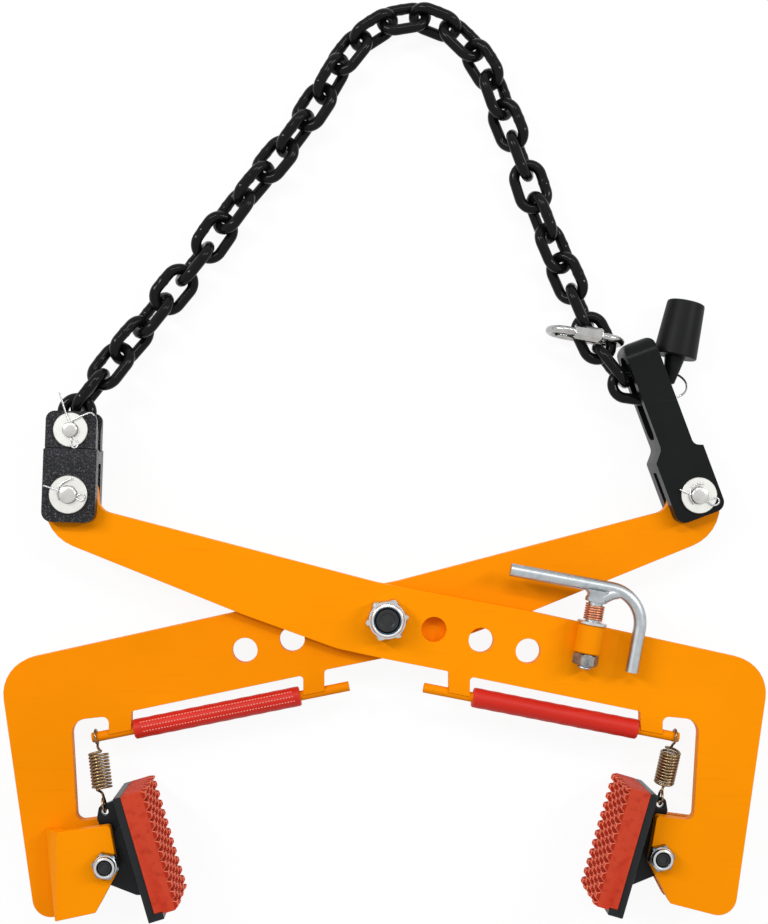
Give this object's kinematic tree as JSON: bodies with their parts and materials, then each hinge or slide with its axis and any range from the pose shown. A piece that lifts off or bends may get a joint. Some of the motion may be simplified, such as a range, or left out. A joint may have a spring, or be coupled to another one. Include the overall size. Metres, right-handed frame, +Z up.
{
  "type": "stone lifting clamp",
  "caption": "Scissor clamp with rubber-faced jaws and a chain sling for lifting kerb stones, paving and blocks.",
  "frame": {"origin": "middle of the whole clamp seen from above, on the floor that it lies on", "axes": "+Z up from the floor, through the thickness of the arms; +Y from the jaws to the crown of the chain; +X to the side of the front arm's jaw"},
  "size_m": [0.6144, 0.7386, 0.0632],
  "materials": {
    "orange_paint": "satin orange powder coat",
    "orange_paint_dark": "satin orange powder coat",
    "zinc": "bright zinc plating",
    "blue_zinc": "bluish zinc plating",
    "dark_bolt": "dark steel",
    "black_cast": "rough black cast surface",
    "black_forged": "satin black",
    "black_chain": "gloss black lacquer",
    "red_rubber": "moulded red rubber",
    "red_pvc": "soft red sleeve",
    "bronze_wire": "yellow passivated spring wire",
    "copper_wire": "copper coloured spring wire",
    "black_plastic": "smooth black plastic"
  },
  "bodies": {
    "front_arm_body": {"front_arm": "orange_paint", "right_jaw_ear": "orange_paint_dark", "pivot_bolt": "dark_bolt", "pivot_nut": "zinc", "right_pad_bolt": "blue_zinc", "right_pad_nut": "blue_zinc", "right_handle_bar": "orange_paint", "right_grip_sleeve": "red_pvc", "lever_bush": "orange_paint", "lever_washer": "zinc", "lever_spring": "copper_wire"},
    "rear_arm_body": {"rear_arm": "orange_paint_dark", "left_jaw_ear": "orange_paint", "left_pad_bolt": "blue_zinc", "left_pad_nut": "blue_zinc", "left_handle_bar": "orange_paint_dark", "left_grip_sleeve": "red_pvc"},
    "right_shoe_body": {"right_shoe": "black_cast", "right_pad": "red_rubber"},
    "left_shoe_body": {"left_shoe": "black_cast", "left_pad": "red_rubber"},
    "right_spring_body": {"right_pad_spring": "bronze_wire"},
    "left_spring_body": {"left_pad_spring": "bronze_wire"},
    "spindle_body": {"lever_spindle": "blue_zinc", "lever_nut": "blue_zinc"},
    "lever_body": {"lock_lever": "blue_zinc"},
    "block_body": {"link_block": "black_cast", "block_arm_pin": "zinc", "block_chain_pin": "zinc", "block_washers": "zinc", "block_cotter_pins": "zinc"},
    "left_run_body": {"chain_end_link": "black_chain", "chain_left_run": "black_chain"},
    "left_bend_body": {"chain_left_bend": "black_chain"},
    "crown_body": {"chain_crown": "black_chain"},
    "right_bend_body": {"chain_right_bend": "black_chain"},
    "right_run_body": {"chain_right_run": "black_chain", "chain_quick_link_loop": "black_chain", "chain_turn_link": "black_chain", "chain_last_link": "black_chain", "quick_link_body": "zinc", "split_ring": "zinc"},
    "quick_sleeve_body": {"quick_link_sleeve": "zinc"},
    "eye_body": {"chain_eye": "black_forged", "eye_pin": "zinc", "eye_washer": "zinc", "eye_cotter_pin": "zinc"},
    "tail_grip_body": {"tail_grip": "black_plastic"}
  },
  "joints": [
    {"name": "scissor_hinge", "type": "hinge", "parent": "front_arm_body", "child": "rear_arm_body", "pos_m": [0, -0.13024, 0.03], "axis": [0, 0, 1], "range_deg": [-12, 7]},
    {"name": "right_pad_tilt", "type": "hinge", "parent": "front_arm_body", "child": "right_shoe_body", "pos_m": [0.2206, -0.32174, 0.02325], "axis": [0, 0, 1], "range_deg": [-6, 6], "stiffness_Nm_per_rad": 4},
    {"name": "left_pad_tilt", "type": "hinge", "parent": "rear_arm_body", "child": "left_shoe_body", "pos_m": [-0.2206, -0.32174, 0.03675], "axis": [0, 0, 1], "range_deg": [-6, 6], "stiffness_Nm_per_rad": 4},
    {"name": "right_spring_swing", "type": "hinge", "parent": "front_arm_body", "child": "right_spring_body", "pos_m": [0.2335, -0.22644, 0.03525], "axis": [0, 0, 1], "range_deg": [-4.1, 4.1]},
    {"name": "left_spring_swing", "type": "hinge", "parent": "rear_arm_body", "child": "left_spring_body", "pos_m": [-0.2335, -0.22644, 0.02475], "axis": [0, 0, 1], "range_deg": [-4.1, 4.1]},
    {"name": "block_hinge", "type": "hinge", "parent": "front_arm_body", "child": "block_body", "pos_m": [-0.252, -0.03094, 0.03525], "axis": [0, 0, 1], "range_deg": [-4.3, 7.3]},
    {"name": "left_run_hinge", "type": "hinge", "parent": "block_body", "child": "left_run_body", "pos_m": [-0.25048, 0.02024, 0.03525], "axis": [0, 0, 1], "range_deg": [-10.8, 6.3]},
    {"name": "left_bend_hinge", "type": "hinge", "parent": "left_run_body", "child": "left_bend_body", "pos_m": [-0.09899, 0.23051, 0.016], "axis": [0, 0, 1], "range_deg": [-8.1, 4.8]},
    {"name": "crown_hinge", "type": "hinge", "parent": "left_bend_body", "child": "crown_body", "pos_m": [-0.0523, 0.29626, 0.016], "axis": [0, 0, 1], "range_deg": [-2.4, 1.4]},
    {"name": "right_bend_hinge", "type": "hinge", "parent": "crown_body", "child": "right_bend_body", "pos_m": [0.09213, 0.31247, 0.016], "axis": [0, 0, 1], "range_deg": [-4.9, 8.4]},
    {"name": "right_run_hinge", "type": "hinge", "parent": "right_bend_body", "child": "right_run_body", "pos_m": [0.11626, 0.23538, 0.016], "axis": [0, 0, 1], "range_deg": [-3.9, 6.6]},
    {"name": "eye_hinge", "type": "hinge", "parent": "rear_arm_body", "child": "eye_body", "pos_m": [0.252, -0.03094, 0.02475], "axis": [0, 0, 1], "range_deg": [-7.7, 13.1]},
    {"name": "lever_push", "type": "slide", "parent": "front_arm_body", "child": "spindle_body", "axis": [-0.1822, -0.9833, 0], "range_m": [0, 0.0022], "stiffness_N_per_m": 2500},
    {"name": "lever_turn", "type": "hinge", "parent": "spindle_body", "child": "lever_body", "pos_m": [0.1613, -0.14564, 0.05125], "axis": [0.1822, 0.9833, 0], "range_deg": [-8, 8]},
    {"name": "sleeve_turn", "type": "hinge", "parent": "right_run_body", "child": "quick_sleeve_body", "pos_m": [0.16391, 0.10059, 0.03357], "axis": [0.9848, -0.1736, 0], "range_deg": [-60, 60]},
    {"name": "tail_grip_swing", "type": "hinge", "parent": "right_run_body", "child": "tail_grip_body", "pos_m": [0.2351, 0.06576, 0.0175], "axis": [0.832, -0.406, 0.378], "range_deg": [0, 20]}
  ],
  "couplings": [
    {"joint": "block_hinge", "follows": "scissor_hinge", "ratio": -0.603},
    {"joint": "left_run_hinge", "follows": "scissor_hinge", "ratio": 0.89},
    {"joint": "left_bend_hinge", "follows": "scissor_hinge", "ratio": 0.668},
    {"joint": "crown_hinge", "follows": "scissor_hinge", "ratio": 0.193},
    {"joint": "right_bend_hinge", "follows": "scissor_hinge", "ratio": -0.692},
    {"joint": "right_run_hinge", "follows": "scissor_hinge", "ratio": -0.545},
    {"joint": "eye_hinge", "follows": "scissor_hinge", "ratio": -1.088},
    {"joint": "right_spring_swing", "follows": "right_pad_tilt", "ratio": -0.67},
    {"joint": "left_spring_swing", "follows": "left_pad_tilt", "ratio": -0.67}
  ]
}
